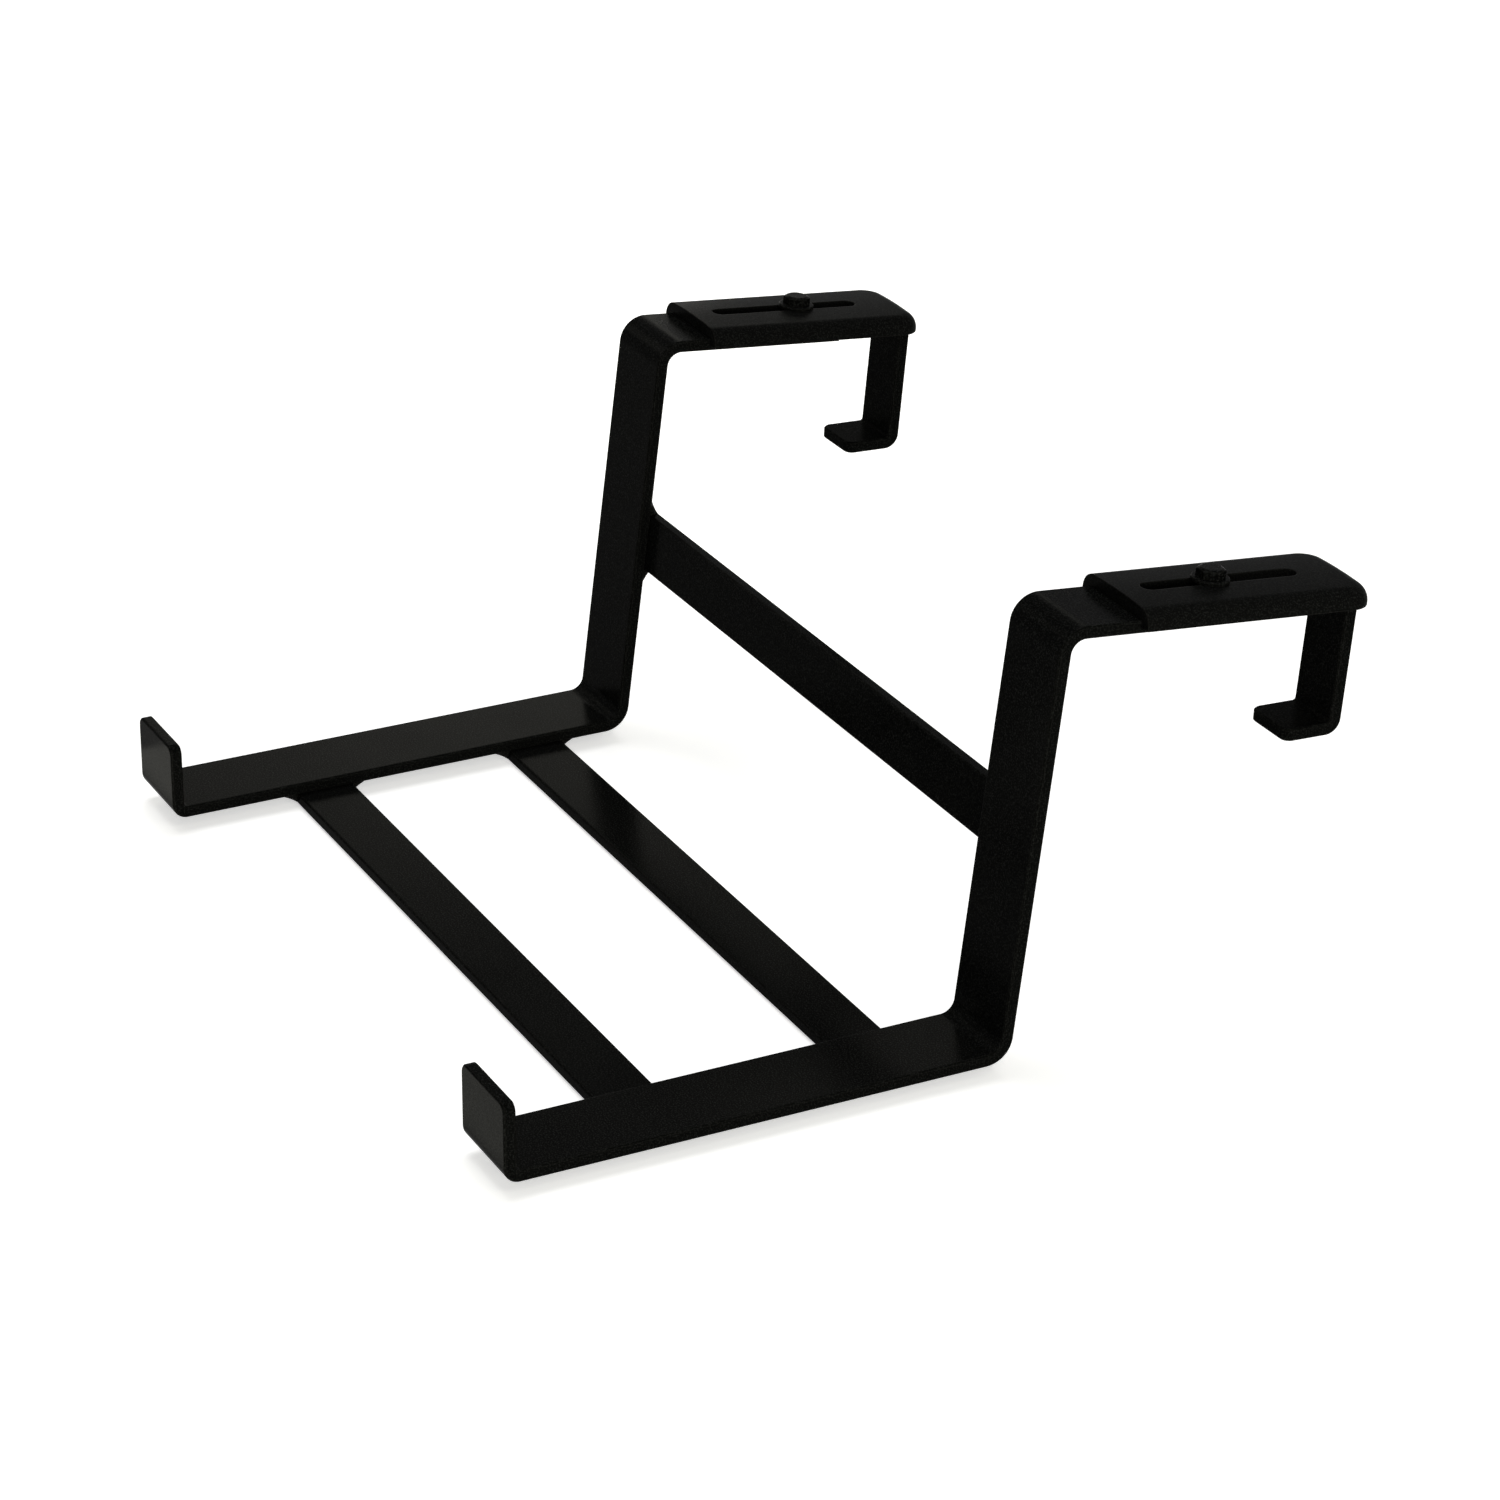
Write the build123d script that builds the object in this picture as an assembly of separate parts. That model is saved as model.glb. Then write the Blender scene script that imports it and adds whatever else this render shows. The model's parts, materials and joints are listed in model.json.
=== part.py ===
from build123d import *
from math import cos, radians, sin
import os

# Over-rail flower box bracket in black flat steel. Two bent brackets carry the box, three flat bars
# hold them apart, and a sliding hook on each top arm grips the far side of the rail.
# Millimetres and degrees. X runs along the rail, +Y towards the hooks, +Z up with the tray level.
# The origin is the middle of the rail seat, halfway between the two top arms, on their undersides.

# Flat steel
THICKNESS = 4.0
BRACKET_WIDTH = 30.0
CROSS_BAR_WIDTH = 20.0
LEG_WIDTH = 20.0
EDGE_BREAK = 0.5

# Bent brackets: each run is measured on the strip's centre line from corner to corner
OVERALL_WIDTH = 297.0
LIP_RUN = 24.2
TRAY_RUN = 163.2
RISER_RUN = 136.6
ARM_RUN = 67.0
RISER_LEAN = 7.0
ARM_FALL = 5.3
LIP_BEND_RADIUS = 3.2
MAIN_BEND_RADIUS = 6.8
TIP_CORNER_RADIUS = 3.2

# Cross bars: distances from the lips' front faces, and up the risers' backs for the back bar
FRONT_BAR_AT = 44.7
REAR_BAR_AT = 122.5
BACK_BAR_AT = 56.5
BAR_SETBACK = 10.0
WELD_REACH = 7.0
WELD_LEG = 3.5
WELD_SETBACK = 0.8

# Clamp screw, its washer and the tapped hole in the top arm
SCREW_AT = 57.0
SCREW_RADIUS = 2.5
THREAD_CLEARANCE = 0.05
SCREW_TIP_SETBACK = 0.4
HEAD_ACROSS_FLATS = 8.0
HEAD_HEIGHT = 3.0
HEAD_CHAMFER = 0.7
WASHER_RADIUS = 6.0
WASHER_THICKNESS = 1.2
WASHER_CLEARANCE = 0.25

# Hook cap: a pressed channel that slides on the top arm, closed at its rear end
CAP_LENGTH = 81.6
CAP_WALL = 3.5
CAP_CROWN = 0.8
CAP_SKIRT = 2.1
CAP_SIDE_GAP = 0.3
CAP_TOP_ROUND = 5.4
CAP_CORNER_RADIUS = 9.0
SLOT_START = 8.2
SLOT_LENGTH = 54.7
SLOT_WIDTH = 6.0

# Hook leg: a bent flat let into the cap's rear wall and welded under its top
LEG_SETBACK = 1.0
LEG_DROP = 46.6
TOE_LENGTH = 20.0
TOE_DROOP = 3.0
TOE_BEND_RADIUS = 3.0
LEG_WELD = 2.4

# Where each hook stands on its arm, from the arm's centre-line corner to the cap's front end
HOOK_AT = {"left": 16.8, "right": 24.6}

# Worked out from the sizes above
BRACKET_X = (OVERALL_WIDTH - BRACKET_WIDTH) / 2
HALF = THICKNESS / 2
UP_RISER = (sin(radians(RISER_LEAN)), cos(radians(RISER_LEAN)))
ALONG_ARM = (cos(radians(ARM_FALL)), -sin(radians(ARM_FALL)))
HEEL = (HALF + TRAY_RUN, HALF)
SHOULDER = (HEEL[0] + RISER_RUN * UP_RISER[0], HEEL[1] + RISER_RUN * UP_RISER[1])
ARM_END = (SHOULDER[0] + ARM_RUN * ALONG_ARM[0], SHOULDER[1] + ARM_RUN * ALONG_ARM[1])
BAR_LAP = BRACKET_WIDTH - BAR_SETBACK
CAP_WIDTH = BRACKET_WIDTH + 2 * (CAP_SIDE_GAP + CAP_WALL)
CAP_TOP = CAP_WALL + CAP_CROWN
CROWN_RADIUS = (CAP_WIDTH**2 / 4 + CAP_CROWN**2) / (2 * CAP_CROWN)
LEG_FRONT = CAP_LENGTH - LEG_SETBACK - THICKNESS
HANGING = (Align.CENTER, Align.MIN, Align.MAX)
STANDING = (Align.CENTER, Align.CENTER, Align.MIN)

# Working planes: on the top arm's upper face and on the riser's back face, X along the rail in both
ARM_TOP = Plane(
    origin=(0, SHOULDER[0] - HALF * ALONG_ARM[1], SHOULDER[1] + HALF * ALONG_ARM[0]),
    x_dir=(1, 0, 0),
    z_dir=(0, -ALONG_ARM[1], ALONG_ARM[0]),
)
RISER_BACK = Plane(
    origin=(0, HEEL[0] + HALF * UP_RISER[1], HEEL[1] - HALF * UP_RISER[0]),
    x_dir=(-1, 0, 0),
    z_dir=(0, UP_RISER[1], -UP_RISER[0]),
)
# The rail gap runs from the risers' backs to the legs' fronts with the hooks as set
GAP_MIDDLE = (HALF + LEG_FRONT + sum(HOOK_AT.values()) / 2) / 2
SEAT = ARM_TOP.from_local_coords(Vector(0, GAP_MIDDLE, -THICKNESS))


def bent_flat(corners, radii, width):
    """A flat bar bent along its centre line, with its long edges broken and its first end rounded."""
    line = Wire.make_polygon([Vector(*corner) for corner in corners], close=False)
    for corner, radius in zip(corners[1:-1], radii):
        line = line.fillet_2d(radius, [line.vertices().sort_by_distance(Vector(*corner))[0]])
    strip = extrude(Plane.YZ * trace(line, THICKNESS), width / 2, both=True)
    tip = strip.faces().sort_by_distance(Vector(0, *corners[0]))[0]
    strip = fillet(tip.edges().group_by(SortBy.LENGTH)[0], TIP_CORNER_RADIUS)
    sides = strip.edges().group_by(Axis.X)
    return chamfer(sides[0] + sides[-1], EDGE_BREAK)


def bracket():
    """Lip, tray arm, riser and top arm in one strip, with the tapped hole for the clamp screw."""
    lip_top = (HALF, HALF + LIP_RUN)
    lip_foot = (HALF, HALF)
    bends = (LIP_BEND_RADIUS, MAIN_BEND_RADIUS, MAIN_BEND_RADIUS)
    strip = bent_flat([lip_top, lip_foot, HEEL, SHOULDER, ARM_END], bends, BRACKET_WIDTH)
    hole = Cylinder(SCREW_RADIUS + THREAD_CLEARANCE, 3 * THICKNESS)
    return strip - ARM_TOP * Pos(0, SCREW_AT, -HALF) * hole


def cross_bar():
    """A flat bar that laps both brackets, its upper face at z 0 and its front edge at y 0."""
    length = OVERALL_WIDTH - 2 * BAR_SETBACK
    bar = Box(length, CROSS_BAR_WIDTH, THICKNESS, align=HANGING)
    return chamfer(bar.edges().filter_by(Axis.X), EDGE_BREAK)


def weld_bead(reach, leg, joint_length):
    """A hollow fillet bead: ahead of y 0 by its reach, down from z 0 by its leg, short of the joint."""
    bow = RadiusArc((-reach, 0), (0, -leg), 2 * reach)
    section = make_face(Polyline((0, -leg), (0, 0), (-reach, 0)) + bow)
    return extrude(Plane.YZ * section, joint_length / 2 - WELD_SETBACK, both=True)


def lap_welds():
    """Two beads along both edges of a cross bar, where it laps one bracket."""
    bead = weld_bead(WELD_REACH, WELD_LEG, BAR_LAP)
    return [bead, Pos(0, CROSS_BAR_WIDTH, 0) * mirror(bead, Plane.XZ)]


def hook_cap():
    """The channel that rides on the top arm, its front end at y 0 and the arm's upper face at z 0."""
    cap = Pos(0, 0, CAP_TOP) * Box(CAP_WIDTH, CAP_LENGTH, CAP_TOP + CAP_SKIRT, align=HANGING)
    crown = Cylinder(CROWN_RADIUS, 3 * CAP_LENGTH, rotation=(90, 0, 0))
    cap &= Pos(0, 0, CAP_TOP - CROWN_RADIUS) * crown
    cap = fillet(cap.edges().filter_by(Axis.Z).group_by(Axis.Y)[-1], CAP_CORNER_RADIUS)
    # Rounding the rear edge carries on round the corners and along both sides, which run on smoothly
    rear_edge = cap.edges().group_by(Axis.Z)[-1].sort_by(Axis.Y)[-1]
    cap = fillet(rear_edge, CAP_TOP_ROUND)
    hollow_width = BRACKET_WIDTH + 2 * CAP_SIDE_GAP
    hollow = Box(hollow_width, CAP_LENGTH - CAP_WALL, CAP_SKIRT, align=HANGING)
    corners = hollow.edges().filter_by(Axis.Z).group_by(Axis.Y)[-1]
    cap -= fillet(corners, CAP_CORNER_RADIUS - CAP_WALL)
    cap -= Box(LEG_WIDTH, LEG_FRONT + THICKNESS, CAP_SKIRT, align=HANGING)
    slot = extrude(SlotOverall(SLOT_LENGTH, SLOT_WIDTH, rotation=90), CAP_TOP)
    return cap - Pos(0, SLOT_START + SLOT_LENGTH / 2, 0) * slot


def hook_leg():
    """Drop leg and forward toe, seated under the cap's top and in the recess of its rear wall."""
    middle = LEG_FRONT + HALF
    low = HALF - LEG_DROP
    toe_run = TOE_LENGTH - HALF
    toe_tip = (middle - toe_run * cos(radians(TOE_DROOP)), low - toe_run * sin(radians(TOE_DROOP)))
    return bent_flat([toe_tip, (middle, low), (middle, 0)], (TOE_BEND_RADIUS,), LEG_WIDTH)


def leg_weld():
    """The bead in the corner between the cap's underside and the leg's front face."""
    return Pos(0, LEG_FRONT, 0) * weld_bead(LEG_WELD, LEG_WELD, LEG_WIDTH)


def clamp_screw():
    """Hexagon-head screw, its head's underside at z 0 and its shank reaching down into the arm."""
    corner_radius = HEAD_ACROSS_FLATS / 2 / cos(radians(30))
    dome = Cylinder(corner_radius, HEAD_HEIGHT, align=STANDING)
    dome = chamfer(dome.edges().group_by(Axis.Z)[-1], HEAD_CHAMFER, 2 * HEAD_CHAMFER)
    head = dome & extrude(RegularPolygon(corner_radius, 6), HEAD_HEIGHT)
    length = WASHER_THICKNESS + CAP_TOP + THICKNESS - SCREW_TIP_SETBACK
    shank = Pos(0, 0, -length) * Cylinder(SCREW_RADIUS, length, align=STANDING)
    return head + chamfer(shank.edges().group_by(Axis.Z)[0], 2 * SCREW_TIP_SETBACK)


def washer():
    """Plain washer that bridges the slot, resting on z 0."""
    disc = Cylinder(WASHER_RADIUS, WASHER_THICKNESS, align=STANDING)
    disc = chamfer(disc.edges().group_by(Axis.Z)[-1], WASHER_THICKNESS / 4)
    return disc - Cylinder(SCREW_RADIUS + WASHER_CLEARANCE, WASHER_THICKNESS, align=STANDING)


def parts():
    """Every node in the model's own frame, before the origin is set at the rail seat."""
    bar_places = {
        "front_tray_bar": Pos(0, FRONT_BAR_AT, 0),
        "rear_tray_bar": Pos(0, REAR_BAR_AT, 0),
        "back_bar": RISER_BACK.location * Pos(0, BACK_BAR_AT, 0) * Rot(0, 180, 0),
    }
    nodes = {name: place * cross_bar() for name, place in bar_places.items()}
    for side, sign in (("left", -1), ("right", 1)):
        across = Pos(sign * BRACKET_X, 0, 0)
        at_laps = Pos(sign * (BRACKET_X - BAR_SETBACK / 2), 0, 0)
        on_arm = across * ARM_TOP.location * Pos(0, HOOK_AT[side], 0)
        on_cap = across * ARM_TOP.location * Pos(0, SCREW_AT, CAP_TOP)
        welds = [at_laps * place * bead for place in bar_places.values() for bead in lap_welds()]
        nodes[f"{side}_bracket"] = across * bracket()
        nodes[f"{side}_bracket_welds"] = Compound(children=welds)
        nodes[f"{side}_hook_cap"] = on_arm * hook_cap()
        nodes[f"{side}_hook_leg"] = on_arm * hook_leg()
        nodes[f"{side}_hook_weld"] = on_arm * leg_weld()
        nodes[f"{side}_washer"] = on_cap * washer()
        nodes[f"{side}_clamp_screw"] = on_cap * Pos(0, 0, WASHER_THICKNESS) * clamp_screw()
    return nodes


def main():
    os.makedirs("parts", exist_ok=True)
    to_seat = Pos(-SEAT.X, -SEAT.Y, -SEAT.Z)
    for name, shape in parts().items():
        export_step(to_seat * shape, f"parts/{name}.step")


main()
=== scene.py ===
import json
from math import asin, hypot, pi, radians, sin, sqrt

import bmesh
import bpy
from mathutils import Matrix, Vector


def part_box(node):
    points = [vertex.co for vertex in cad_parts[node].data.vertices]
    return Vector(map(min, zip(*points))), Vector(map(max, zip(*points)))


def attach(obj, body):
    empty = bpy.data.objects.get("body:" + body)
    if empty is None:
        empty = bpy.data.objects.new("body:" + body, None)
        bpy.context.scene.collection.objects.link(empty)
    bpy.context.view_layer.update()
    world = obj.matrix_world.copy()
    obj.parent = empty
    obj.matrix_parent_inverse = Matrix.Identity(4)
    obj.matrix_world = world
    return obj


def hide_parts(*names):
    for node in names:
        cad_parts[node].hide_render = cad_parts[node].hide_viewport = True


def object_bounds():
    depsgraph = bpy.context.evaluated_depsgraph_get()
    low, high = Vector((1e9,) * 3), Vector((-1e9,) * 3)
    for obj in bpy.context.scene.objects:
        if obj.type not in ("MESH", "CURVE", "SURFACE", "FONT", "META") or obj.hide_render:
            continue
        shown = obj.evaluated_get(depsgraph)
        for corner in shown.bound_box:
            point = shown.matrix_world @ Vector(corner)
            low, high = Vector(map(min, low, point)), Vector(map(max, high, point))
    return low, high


# Over-rail flower box bracket of black powder-coated flat steel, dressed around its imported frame.
# Metres throughout. X runs along the rail, +Y towards the hooks, +Z up with the tray level.

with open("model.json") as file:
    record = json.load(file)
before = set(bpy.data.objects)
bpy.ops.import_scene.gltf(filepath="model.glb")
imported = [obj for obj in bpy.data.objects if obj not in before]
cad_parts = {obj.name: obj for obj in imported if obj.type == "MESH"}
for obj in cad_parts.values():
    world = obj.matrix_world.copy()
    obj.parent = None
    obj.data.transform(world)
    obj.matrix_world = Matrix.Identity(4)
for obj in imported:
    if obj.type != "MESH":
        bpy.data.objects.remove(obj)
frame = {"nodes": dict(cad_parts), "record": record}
cad_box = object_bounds()

# Camera: where it stands, how it is turned, and its lens
CAMERA_PLACE = (1.2160, -0.7021, 0.5530)
CAMERA_FORWARD = (-0.80545, 0.41415, -0.42394)
CAMERA_RIGHT = (0.45406, 0.89094, 0.00768)
LENS_MM = 112.57
SENSOR_MM = 36.0

SIDES = ("left", "right")

# Coats: linear colours of the black powder, of the lighter grains in it, of broken edges (a painted edge
# highlight, and thinner coat there), and of the sheen. A hook's cap is pressed from thinner stock and took a
# slightly greyer coat.
BLACK = (0.0018, 0.0019, 0.0018, 1)
GRAIN = (0.0115, 0.0120, 0.0115, 1)
CAP_BLACK = (0.0030, 0.0031, 0.0030, 1)
CAP_GRAIN = (0.0105, 0.0110, 0.0105, 1)
EDGE_HIGHLIGHT_AND_THIN_COAT = (0.0160, 0.0160, 0.0145, 1)
SHEEN = (1.0, 1.0, 0.88, 1)

# Powder: waves per metre of peel and grains, where a grain starts and is full, how much it stands up, how
# deep the whole relief is, and the slow patches of gloss
PEEL_PER_METRE = 1500.0
GRAINS_PER_METRE = 2000.0
GRAIN_LOW = 0.46
GRAIN_HIGH = 0.72
GRAIN_RELIEF = 0.35
POWDER_DEPTH = 0.0001
MOTTLE_PER_METRE = 45.0
GLOSS_SPREAD = 0.08

# Broken edges, painted lighter as an edge highlight and for thinner coat: how far they reach, where a turned
# normal starts and ends to count, and its patches
EDGE_WIDTH = 0.0006
EDGE_STARTS = 0.995
EDGE_FULL = 0.90
PATCHES_PER_METRE = 160.0

# Weld beads: a ripple's length and height, how far its crown leads, a slow waver, and rounded ends
RIPPLE_PITCH = 0.0015
RIPPLE_STEPS = 4
RIPPLE_HEIGHT = 0.08
RIPPLE_LEAD = 0.0007
HAND_WAVER = 0.0067
WAVER_HEIGHT = 0.4
BEAD_END = 0.0022
BEAD_TIP = 0.3
ARC_STEPS = 8
SMOOTH_BELOW = radians(50)

# Studio: the floor's own white and how far it lies below the feet, the fill, the key and its spread, and
# the colour of the lamps
FLOOR_GLOW = 0.56
FLOOR_DROP = 0.0003
FLOOR_HALF_WIDTH = 6.0
FILL = 0.11
KEY_TOWARDS = (0.3, -0.1, -1.0)
KEY_STRENGTH = 1.2
KEY_SPREAD = radians(35)
WARM = (1.0, 0.985, 0.87)

# The card that lies in front of the lips: its distances from the part, its size and its power
CARD_AHEAD = 0.03
CARD_ABOVE = 0.002
CARD_SIZE = (0.36, 0.05)
CARD_POWER = 0.115

# Lamps at the side and above, and soft panels that the flat faces mirror
LAMPS = {
    "side lamp": dict(place=(1.5, -0.2, 0.1), aim=(0, 0, -0.05), size=(0.6, 0.6), power=13.5),
    "upper lamp": dict(place=(1.0, -0.1, 1.0), aim=(0, 0, -0.05), size=(0.6, 0.6), power=3.0),
    "left panel": dict(place=(-0.62, 0.07, 0.08), aim=(0, 0.07, 0.08), size=(0.3, 0.2), power=0.56),
    "far arm panel": dict(place=(-1.0, 0.29, 0.32), aim=(-0.13, -0.15, -0.13), size=(0.22, 0.16), power=0.2),
    "near arm panel": dict(place=(-1.0, 0.43, 0.46), aim=(0.13, -0.15, -0.13), size=(0.22, 0.16), power=0.16),
    "cap panel": dict(place=(-1.0, 0.54, 0.56), aim=(0, 0.03, 0.01), size=(0.2, 0.2), power=0.4),
    "bend panel": dict(place=(-1.0, -0.5, 0.48), aim=(0, -0.08, 0), size=(0.4, 0.4), power=1.5),
}


# Shared effects

def socket(group, name, kind, inward, value=None):
    """A named input or output on a shader node group."""
    made = group.interface.new_socket(name, in_out="INPUT" if inward else "OUTPUT", socket_type=kind)
    if value is not None:
        made.default_value = value


def noise(nodes, links, detail, scale):
    """Soft noise over a piece, with a scale that is a number or a socket."""
    texture = nodes.new("ShaderNodeTexNoise")
    texture.inputs["Detail"].default_value = detail
    links.new(nodes.new("ShaderNodeTexCoord").outputs["Object"], texture.inputs["Vector"])
    if isinstance(scale, float):
        texture.inputs["Scale"].default_value = scale
    else:
        links.new(scale, texture.inputs["Scale"])
    return texture.outputs["Fac"]


def smooth_range(nodes, links, value, low, high):
    """Nought at a low value, one at a high one, and a smooth step between."""
    step = nodes.new("ShaderNodeMapRange")
    step.interpolation_type = "SMOOTHSTEP"
    step.inputs["From Min"].default_value = low
    step.inputs["From Max"].default_value = high
    links.new(value, step.inputs["Value"])
    return step.outputs["Result"]


def powder_group():
    """Powder coat: fine peel, lighter grains and slow unevenness, as a grain mask, a height and a mottle."""
    group = bpy.data.node_groups.new("powder coat", "ShaderNodeTree")
    socket(group, "Peel per Metre", "NodeSocketFloat", True, PEEL_PER_METRE)
    socket(group, "Grain per Metre", "NodeSocketFloat", True, GRAINS_PER_METRE)
    for name in ("Grain", "Height", "Mottle"):
        socket(group, name, "NodeSocketFloat", False)
    nodes, links = group.nodes, group.links
    given, out = nodes.new("NodeGroupInput"), nodes.new("NodeGroupOutput")
    peel = noise(nodes, links, 3.0, given.outputs["Peel per Metre"])
    grain = noise(nodes, links, 1.0, given.outputs["Grain per Metre"])
    speck = smooth_range(nodes, links, grain, GRAIN_LOW, GRAIN_HIGH)
    links.new(speck, out.inputs["Grain"])
    links.new(noise(nodes, links, 4.0, MOTTLE_PER_METRE), out.inputs["Mottle"])
    height = nodes.new("ShaderNodeMath")
    height.operation = "MULTIPLY_ADD"
    height.inputs[1].default_value = GRAIN_RELIEF
    links.new(speck, height.inputs[0])
    links.new(peel, height.inputs[2])
    links.new(height.outputs["Value"], out.inputs["Height"])
    return group


def edge_group():
    """Painted edge highlight and thinner coat on edges: a mask that is high along broken edges, and a normal
    that rounds them.
    """
    group = bpy.data.node_groups.new("painted highlight and thin coat on edges", "ShaderNodeTree")
    socket(group, "Edge Width", "NodeSocketFloat", True, EDGE_WIDTH)
    socket(group, "Edge", "NodeSocketFloat", False)
    socket(group, "Normal", "NodeSocketVector", False)
    nodes, links = group.nodes, group.links
    given, out = nodes.new("NodeGroupInput"), nodes.new("NodeGroupOutput")
    rounded = nodes.new("ShaderNodeBevel")
    rounded.samples = 6
    links.new(given.outputs["Edge Width"], rounded.inputs["Radius"])
    flat = nodes.new("ShaderNodeNewGeometry")
    turn = nodes.new("ShaderNodeVectorMath")
    turn.operation = "DOT_PRODUCT"
    links.new(rounded.outputs["Normal"], turn.inputs[0])
    links.new(flat.outputs["True Normal"], turn.inputs[1])
    # Painted highlight: lighter where the rounded normal turns from the flat one, and thinner coat there too
    thin_and_highlit = smooth_range(nodes, links, turn.outputs["Value"], EDGE_STARTS, EDGE_FULL)
    broken = nodes.new("ShaderNodeMath")
    broken.operation = "MULTIPLY"
    links.new(thin_and_highlit, broken.inputs[0])
    links.new(noise(nodes, links, 3.0, PATCHES_PER_METRE), broken.inputs[1])
    links.new(broken.outputs["Value"], out.inputs["Edge"])
    links.new(rounded.outputs["Normal"], out.inputs["Normal"])
    return group


POWDER = powder_group()
EDGES = edge_group()


def placed(nodes, group, **values):
    """A node group placed in a material with its own values."""
    node = nodes.new("ShaderNodeGroup")
    node.node_tree = group
    for name, value in values.items():
        node.inputs[name.replace("_", " ")].default_value = value
    return node


def blend_colour(material, factor, first, second):
    """A colour mix whose two ends are colours or sockets."""
    nodes, links = material.node_tree.nodes, material.node_tree.links
    mix = nodes.new("ShaderNodeMix")
    mix.data_type = "RGBA"
    links.new(factor, mix.inputs["Factor"])
    for end, name in ((first, "A"), (second, "B")):
        socket_in = [s for s in mix.inputs if s.name == name and s.type == "RGBA"][0]
        if isinstance(end, tuple):
            socket_in.default_value = end
        else:
            links.new(end, socket_in)
    return [s for s in mix.outputs if s.type == "RGBA"][0]


def coat(name, rough, shine, bump, black=BLACK, grain=GRAIN, peel=PEEL_PER_METRE, grains=GRAINS_PER_METRE):
    """A black powder coat with its own tone, gloss and coarseness."""
    material = bpy.data.materials.new(name)
    material.use_nodes = True
    nodes, links = material.node_tree.nodes, material.node_tree.links
    shader = nodes["Principled BSDF"]
    powder = placed(nodes, POWDER, Peel_per_Metre=peel, Grain_per_Metre=grains)
    edges = placed(nodes, EDGES)
    body = blend_colour(material, powder.outputs["Grain"], black, grain)
    # Broken edges painted lighter: a painted edge highlight, and thinner coat there
    colour = blend_colour(material, edges.outputs["Edge"], body, EDGE_HIGHLIGHT_AND_THIN_COAT)
    links.new(colour, shader.inputs["Base Color"])
    gloss = nodes.new("ShaderNodeMapRange")
    gloss.inputs["To Min"].default_value = rough - GLOSS_SPREAD
    gloss.inputs["To Max"].default_value = rough + GLOSS_SPREAD
    links.new(powder.outputs["Mottle"], gloss.inputs["Value"])
    links.new(gloss.outputs["Result"], shader.inputs["Roughness"])
    shader.inputs["Specular IOR Level"].default_value = shine
    shader.inputs["Specular Tint"].default_value = SHEEN
    relief = nodes.new("ShaderNodeBump")
    relief.inputs["Strength"].default_value = bump
    relief.inputs["Distance"].default_value = POWDER_DEPTH
    links.new(powder.outputs["Height"], relief.inputs["Height"])
    links.new(edges.outputs["Normal"], relief.inputs["Normal"])
    links.new(relief.outputs["Normal"], shader.inputs["Normal"])
    return material


def dress(node, material):
    """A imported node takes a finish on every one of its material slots."""
    for slot in frame["nodes"][node].material_slots:
        slot.material = material


def dress_all():
    """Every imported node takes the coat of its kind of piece, and the welds the coat of what they join."""
    coats = {
        "bar": coat("bar coat", rough=0.15, shine=0.0018, bump=0.22),
        "bracket": coat("bracket coat", rough=0.17, shine=0.0024, bump=0.25),
        "leg": coat("leg coat", rough=0.3, shine=0.001, bump=0.3),
        "cap": coat("cap coat", rough=0.3, shine=0.0027, bump=0.3, black=CAP_BLACK, grain=CAP_GRAIN),
        "screw": coat("screw coat", rough=0.28, shine=0.004, bump=0.25, peel=900.0, grains=1500.0),
        "washer": coat("washer coat", rough=0.28, shine=0.003, bump=0.25, peel=900.0, grains=1500.0),
    }
    for node in frame["nodes"]:
        for kind, material in coats.items():
            if node.endswith(kind):
                dress(node, material)
    weld_all(coats["bracket"], coats["leg"])


# Weld beads

def new_piece(name, made, material, body):
    """A finished mesh becomes a piece that rides on a body and takes a material slot's finish."""
    mesh = bpy.data.meshes.new(name)
    made.to_mesh(mesh)
    made.free()
    mesh.materials.append(material)
    piece = bpy.data.objects.new(name, mesh)
    bpy.context.scene.collection.objects.link(piece)
    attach(piece, body)
    return piece


def bead_size(distance, length):
    """How large a bead's section is at a distance along it: rounded at both ends, and rippled between."""
    to_end = max(0.0, min(distance, length - distance))
    ending = sqrt(1.0 - max(0.0, 1.0 - to_end / BEAD_END) ** 2)
    ripple = sin(2 * pi * distance / RIPPLE_PITCH) + WAVER_HEIGHT * sin(2 * pi * distance / HAND_WAVER)
    return BEAD_TIP + (1.0 - BEAD_TIP) * ending + RIPPLE_HEIGHT * ending * ripple


def fillet_bead(reach, leg, length):
    """A hollow, rippled fillet bead: X along its joint, Y and Z out along the two faces that it joins."""
    made = bmesh.new()
    chord = hypot(reach, leg)
    bow = 2 * reach
    rise = sqrt(bow**2 - chord**2 / 4)
    centre = (0, reach / 2 + rise * leg / chord, leg / 2 + rise * reach / chord)
    toe = made.verts.new((0, reach, 0))
    turn = 2 * asin(chord / 2 / bow)
    spun = bmesh.ops.spin(made, geom=[toe], cent=centre, axis=(1, 0, 0), angle=-turn, steps=ARC_STEPS)
    last = [part for part in spun["geom_last"] if isinstance(part, bmesh.types.BMVert)][0]
    root = made.verts.new((0, 0, 0))
    made.edges.new((root, toe))
    made.edges.new((last, root))
    steps = round(length / RIPPLE_PITCH * RIPPLE_STEPS)
    section = made.verts[:] + made.edges[:]
    bmesh.ops.spin(made, geom=section, dvec=(length / steps, 0, 0), axis=(1, 0, 0), angle=0, steps=steps)
    bmesh.ops.holes_fill(made, edges=[edge for edge in made.edges if edge.is_boundary])
    for vertex in made.verts:
        place = vertex.co
        size = bead_size(place.x, length)
        crown = 4 * place.y * place.z / (reach * leg)
        vertex.co = (place.x + RIPPLE_LEAD * crown, place.y * size, place.z * size)
    return made


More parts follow.
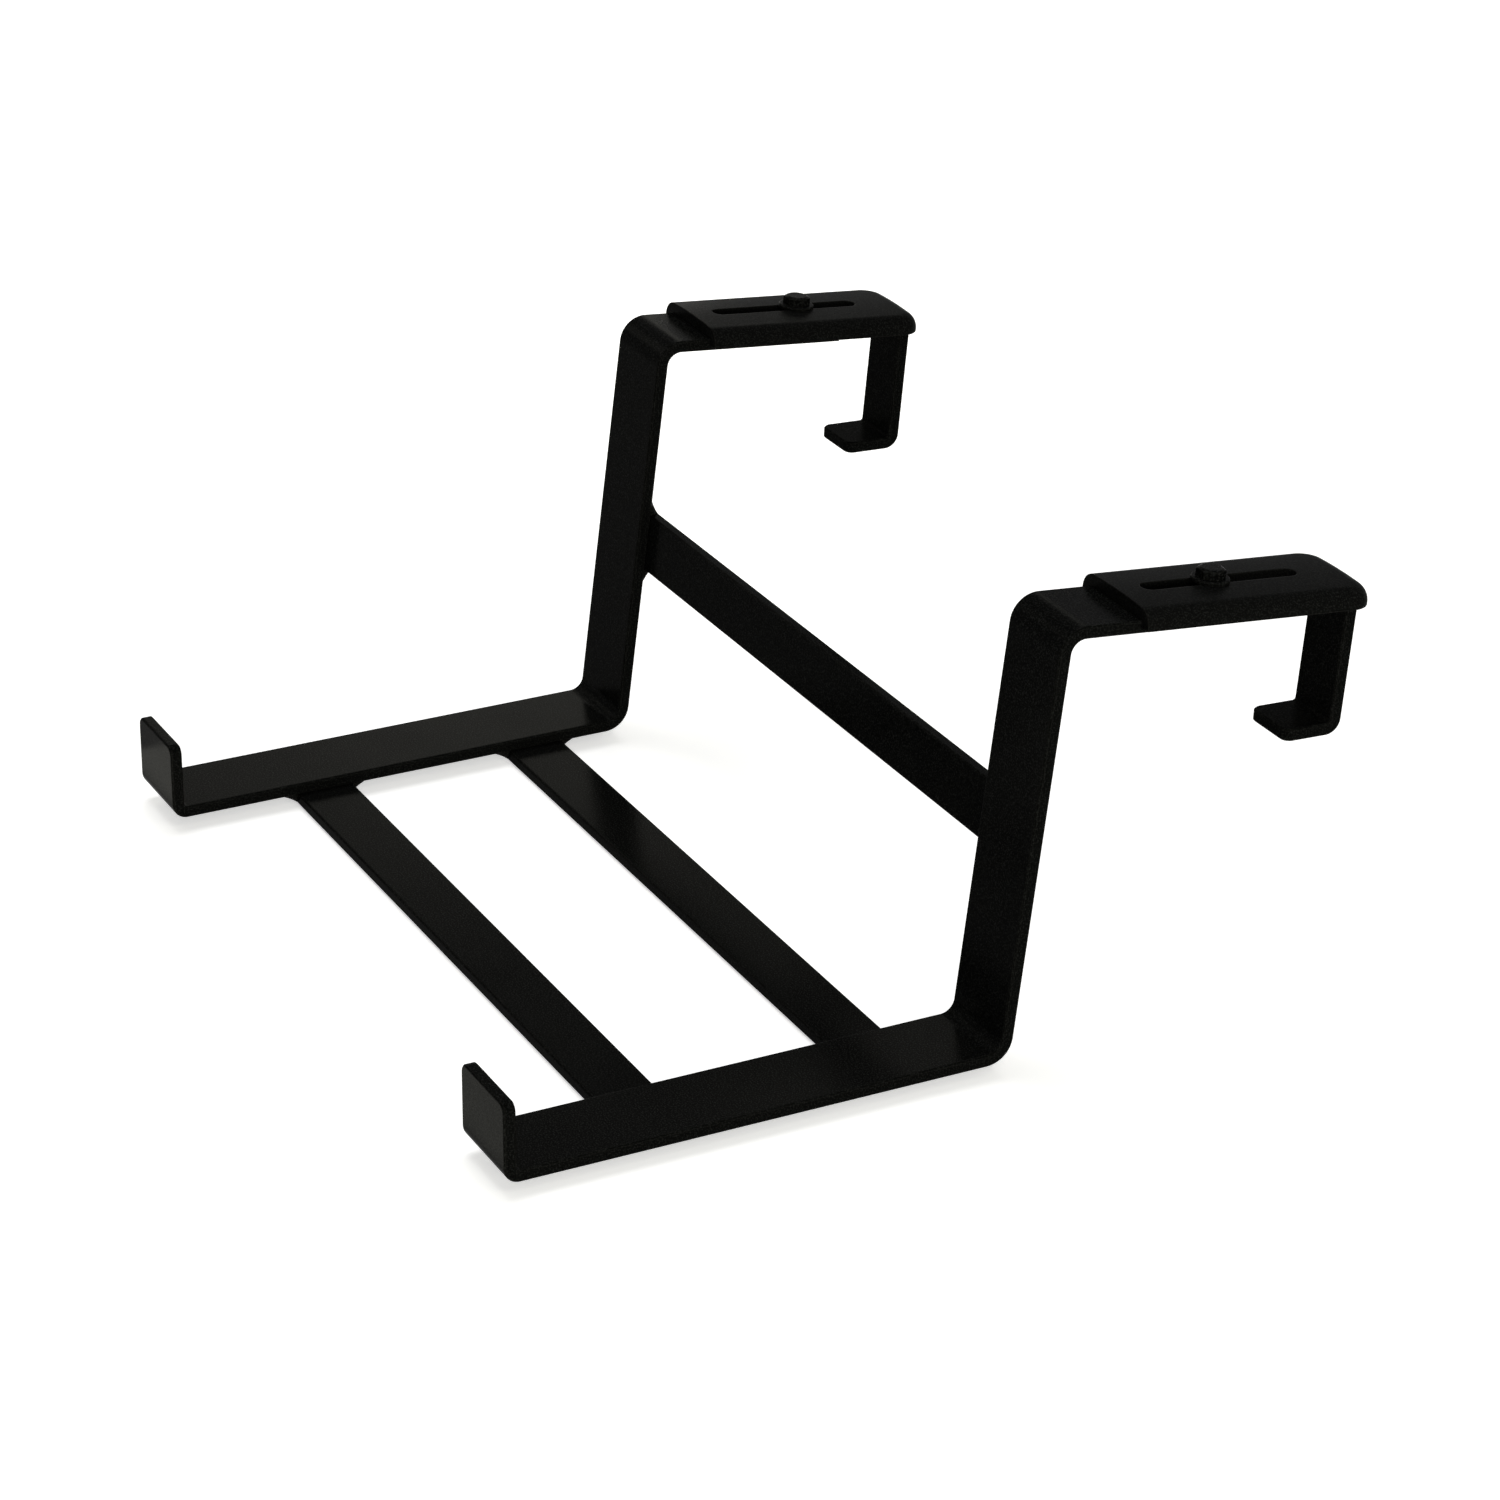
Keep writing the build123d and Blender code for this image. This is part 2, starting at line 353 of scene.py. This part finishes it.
def lay_beads(name, bead, joints, material, body):
    """Copies of one bead, each laid along a joint: its start, and the directions of its three axes."""
    source = bpy.data.meshes.new(name + " one bead")
    bead.to_mesh(source)
    bead.free()
    made = bmesh.new()
    for start, *axes in joints:
        turned = Matrix(axes).transposed().to_4x4()
        laid = source.copy()
        laid.transform(Matrix.Translation(start) @ turned)
        made.from_mesh(laid)
        bpy.data.meshes.remove(laid)
    bpy.data.meshes.remove(source)
    bmesh.ops.recalc_face_normals(made, faces=made.faces)
    for face in made.faces:
        face.smooth = True
    piece = new_piece(name, made, material, body)
    piece.data.set_sharp_from_angle(angle=SMOOTH_BELOW)
    return piece


def mount(name):
    """Where a mount is, and the way that it faces."""
    found = [each for each in frame["record"]["mounts"] if each["name"] == name][0]
    return Vector(found["pos_m"]), Vector(found["axis"])


def bracket_beads(side, material):
    """Beads along both edges of every cross bar where it laps a bracket."""
    node = f"{side}_bracket_welds"
    low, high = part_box(node)
    front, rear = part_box("front_tray_bar"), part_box("rear_tray_bar")
    thickness, width = front[1].z - front[0].z, front[1].y - front[0].y
    reach, leg = front[0].y - low.y, front[1].z - low.z
    along, down, outwards = Vector((1, 0, 0)), Vector((0, 0, -1)), Vector((0, 1, 0))
    joints = []
    for bar_low, bar_high in (front, rear):
        joints.append(((low.x, bar_low.y, bar_high.z), along, -outwards, down))
        joints.append(((low.x, bar_high.y, bar_high.z), along, outwards, down))
    rest, back = mount("back_rest")
    upward = along.cross(back)
    for way in (-1, 1):
        edge = rest - back * thickness + upward * way * width / 2
        joints.append(((low.x, edge.y, edge.z), along, upward * way, back))
    bead = fillet_bead(reach, leg, high.x - low.x)
    return lay_beads(f"{side}_bracket_weld_beads", bead, joints, material, "frame"), node


def hook_bead(side, material):
    """The bead inside a hook, in the corner between its cap and its leg."""
    node = f"{side}_hook_weld"
    low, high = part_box(node)
    grip, forward = mount(f"{side}_hook_grip")
    seat, down = mount("rail_seat")
    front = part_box("front_tray_bar")
    thickness = front[1].z - front[0].z
    corner = grip - down * ((grip - seat).dot(down) + thickness)
    size = (high.y - low.y) / -forward.y
    joint = ((low.x, corner.y, corner.z), Vector((1, 0, 0)), forward, down)
    bead = fillet_bead(size, size, high.x - low.x)
    return lay_beads(f"{side}_hook_weld_bead", bead, [joint], material, f"{side}_hook"), node


def weld_all(frame_coat, hook_coat):
    """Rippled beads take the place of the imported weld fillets."""
    for side in SIDES:
        for piece, node in (bracket_beads(side, frame_coat), hook_bead(side, hook_coat)):
            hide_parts(node)


# Studio

def white_for_viewers(nodes, links):
    """One for rays from the camera, mirrors and glass, and nought for the rest."""
    path = nodes.new("ShaderNodeLightPath")
    total = path.outputs["Is Camera Ray"]
    for name in ("Is Glossy Ray", "Is Transmission Ray"):
        add = nodes.new("ShaderNodeMath")
        add.operation = "MAXIMUM"
        links.new(total, add.inputs[0])
        links.new(path.outputs[name], add.inputs[1])
        total = add.outputs["Value"]
    return total


def studio_world():
    """White to whoever looks at it, and a plain grey fill for the object."""
    world = bpy.data.worlds.new("studio")
    world.use_nodes = True
    bpy.context.scene.world = world
    nodes, links = world.node_tree.nodes, world.node_tree.links
    background = nodes["Background"]
    background.inputs["Color"].default_value = (1, 1, 1, 1)
    level = nodes.new("ShaderNodeMapRange")
    level.inputs["To Min"].default_value = FILL
    level.inputs["To Max"].default_value = 1.0
    links.new(white_for_viewers(nodes, links), level.inputs["Value"])
    links.new(level.outputs["Result"], background.inputs["Strength"])


def floor(level):
    """A pale floor that stays white where it is lit and keeps the shadow."""
    mesh = bpy.data.meshes.new("floor")
    made = bmesh.new()
    bmesh.ops.create_grid(made, x_segments=1, y_segments=1, size=FLOOR_HALF_WIDTH)
    bmesh.ops.translate(made, verts=made.verts, vec=(0, 0, level))
    made.to_mesh(mesh)
    made.free()
    plane = bpy.data.objects.new("floor", mesh)
    bpy.context.scene.collection.objects.link(plane)
    material = bpy.data.materials.new("floor")
    material.use_nodes = True
    nodes, links = material.node_tree.nodes, material.node_tree.links
    shader = nodes["Principled BSDF"]
    shader.inputs["Base Color"].default_value = (0.9, 0.9, 0.9, 1)
    shader.inputs["Roughness"].default_value = 1.0
    shader.inputs["Specular IOR Level"].default_value = 0.0
    shader.inputs["Emission Color"].default_value = (1, 1, 1, 1)
    glowing = nodes.new("ShaderNodeMath")
    glowing.operation = "MULTIPLY"
    glowing.inputs[1].default_value = FLOOR_GLOW
    links.new(white_for_viewers(nodes, links), glowing.inputs[0])
    links.new(glowing.outputs["Value"], shader.inputs["Emission Strength"])
    mesh.materials.append(material)


def area_lamp(name, place, aim, size, power):
    """A soft rectangular lamp that faces a point."""
    data = bpy.data.lights.new(name, "AREA")
    data.color = WARM
    data.shape = "RECTANGLE"
    data.size, data.size_y = size
    data.energy = power
    lamp = bpy.data.objects.new(name, data)
    facing = (Vector(aim) - Vector(place)).to_track_quat("-Z", "Y").to_matrix().to_4x4()
    lamp.matrix_world = Matrix.Translation(place) @ facing
    lamp.visible_camera = False
    bpy.context.scene.collection.objects.link(lamp)


def key_sun():
    """A broad sun for an even level and one soft shadow."""
    data = bpy.data.lights.new("key", "SUN")
    data.energy = KEY_STRENGTH
    data.angle = KEY_SPREAD
    lamp = bpy.data.objects.new("key", data)
    lamp.matrix_world = Vector(KEY_TOWARDS).to_track_quat("-Z", "Y").to_matrix().to_4x4()
    bpy.context.scene.collection.objects.link(lamp)


def camera():
    """The camera stands, looks and turns as its values say."""
    data = bpy.data.cameras.new("camera")
    data.lens = LENS_MM
    data.sensor_width = SENSOR_MM
    view = bpy.data.objects.new("camera", data)
    forward = Vector(CAMERA_FORWARD).normalized()
    right = Vector(CAMERA_RIGHT)
    right = (right - right.dot(forward) * forward).normalized()
    up = right.cross(forward)
    turn = Matrix((right, up, -forward)).transposed().to_4x4()
    view.matrix_world = Matrix.Translation(CAMERA_PLACE) @ turn
    bpy.context.scene.collection.objects.link(view)
    bpy.context.scene.camera = view


def studio():
    """White floor and world, the key, the lamps, and a low card that lights the lips' faces."""
    front, lowest = cad_box[0][1], cad_box[0][2]
    floor(lowest - FLOOR_DROP)
    studio_world()
    key_sun()
    card = Vector((0, front - CARD_AHEAD, lowest + CARD_ABOVE))
    area_lamp("front card", card, aim=card + Vector((0, 0, 1)), size=CARD_SIZE, power=CARD_POWER)
    for name, lamp in LAMPS.items():
        area_lamp(name, **lamp)
    bpy.context.scene.view_settings.view_transform = "Standard"


dress_all()
studio()
camera()
